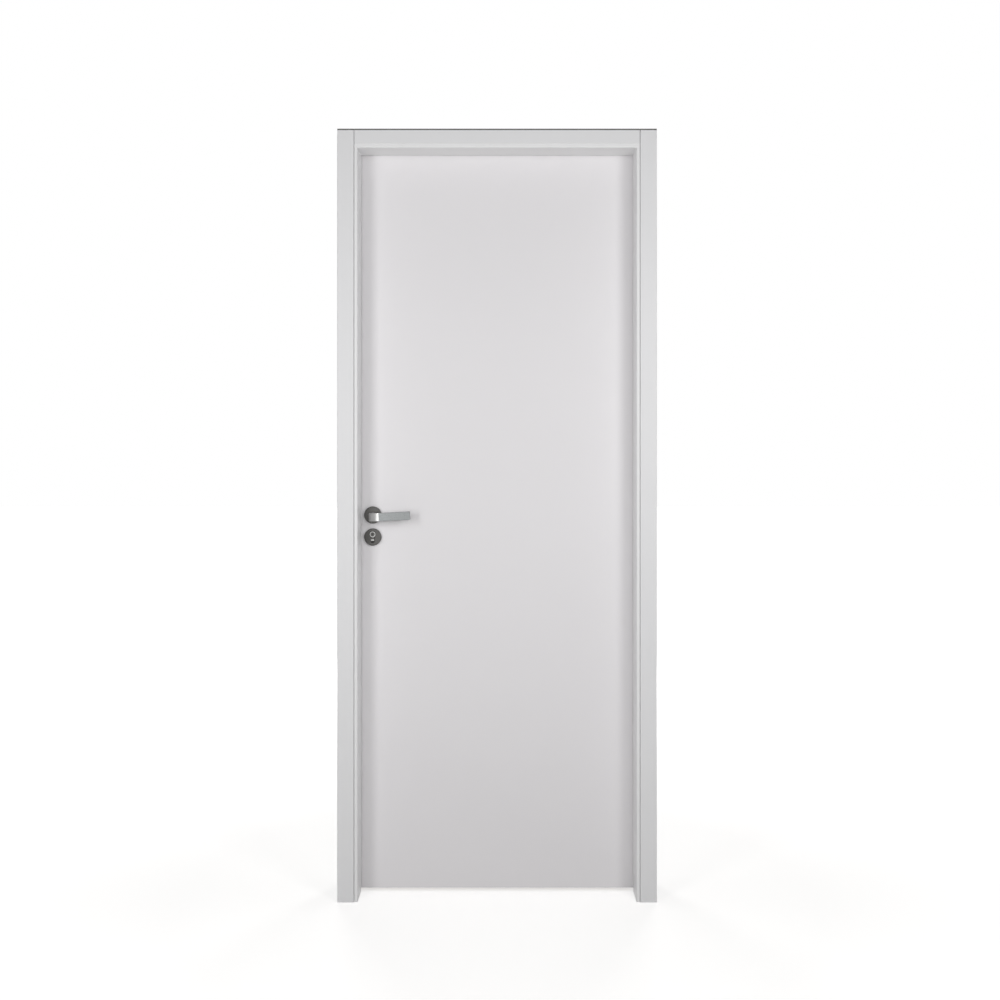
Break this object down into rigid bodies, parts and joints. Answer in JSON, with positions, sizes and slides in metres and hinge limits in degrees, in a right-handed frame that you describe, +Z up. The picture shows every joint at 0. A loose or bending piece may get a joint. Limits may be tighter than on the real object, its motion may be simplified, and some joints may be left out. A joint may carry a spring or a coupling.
{
  "type": "melamine door",
  "caption": "Flush white melamine interior door in a rebated frame with casings on both wall faces, hung on butt hinges, with a lever handle and a cylinder rose below it.",
  "frame": {"origin": "on the wall face of the hinge jamb, at floor level, half way through the frame's depth", "axes": "+X out of the hinge jamb into the wall, to the right seen from the push side; +Y through the doorway away from the push side; +Z up"},
  "size_m": [0.9245, 0.185, 2.1665],
  "materials": {
    "leaf_white": "white melamine, fine satin",
    "frame_white": "white melamine foil on board",
    "core_board": "raw particle board",
    "seal_strip": "soft grey strip",
    "hinge_steel": "satin",
    "dark_satin_metal": "dark satin",
    "satin_lever_metal": "brushed satin",
    "cylinder_metal": "satin nickel",
    "lock_steel": "brushed"
  },
  "bodies": {
    "frame": {"hinge_jamb": "frame_white", "lock_jamb": "frame_white", "head_jamb": "frame_white", "strike_plate": "lock_steel", "hinge_seal": "seal_strip", "lock_seal": "seal_strip", "head_seal": "seal_strip", "front_left_casing": "frame_white", "front_right_casing": "frame_white", "front_head_casing": "frame_white", "back_left_casing": "frame_white", "back_right_casing": "frame_white", "back_head_casing": "frame_white", "top_frame_hinge_plate": "hinge_steel", "middle_frame_hinge_plate": "hinge_steel", "bottom_frame_hinge_plate": "hinge_steel", "top_hinge_pin": "hinge_steel", "middle_hinge_pin": "hinge_steel", "bottom_hinge_pin": "hinge_steel"},
    "leaf": {"leaf_core": "core_board", "front_skin": "leaf_white", "back_skin": "leaf_white", "lock_edge_band": "leaf_white", "hinge_edge_band": "leaf_white", "top_edge_band": "leaf_white", "lock_case": "lock_steel", "lock_faceplate": "lock_steel", "latch_bolt": "lock_steel", "dead_bolt": "lock_steel", "lock_cylinder": "cylinder_metal", "front_lever_rose": "dark_satin_metal", "back_lever_rose": "dark_satin_metal", "front_cylinder_rose": "dark_satin_metal", "back_cylinder_rose": "dark_satin_metal", "top_leaf_hinge_plate": "hinge_steel", "middle_leaf_hinge_plate": "hinge_steel", "bottom_leaf_hinge_plate": "hinge_steel"},
    "lever": {"front_lever": "satin_lever_metal", "back_lever": "satin_lever_metal", "spindle": "satin_lever_metal"}
  },
  "joints": [
    {"name": "leaf_swing", "type": "hinge", "parent": "frame", "child": "leaf", "pos_m": [-0.0225, 0.067, 1.05], "axis": [0, 0, -1], "range_deg": [0, 110]},
    {"name": "lever_turn", "type": "hinge", "parent": "leaf", "child": "lever", "pos_m": [-0.78, 0.04, 1.074], "axis": [0, 1, 0], "range_deg": [0, 45], "stiffness_Nm_per_rad": 1, "springref_deg": -34.38}
  ]
}
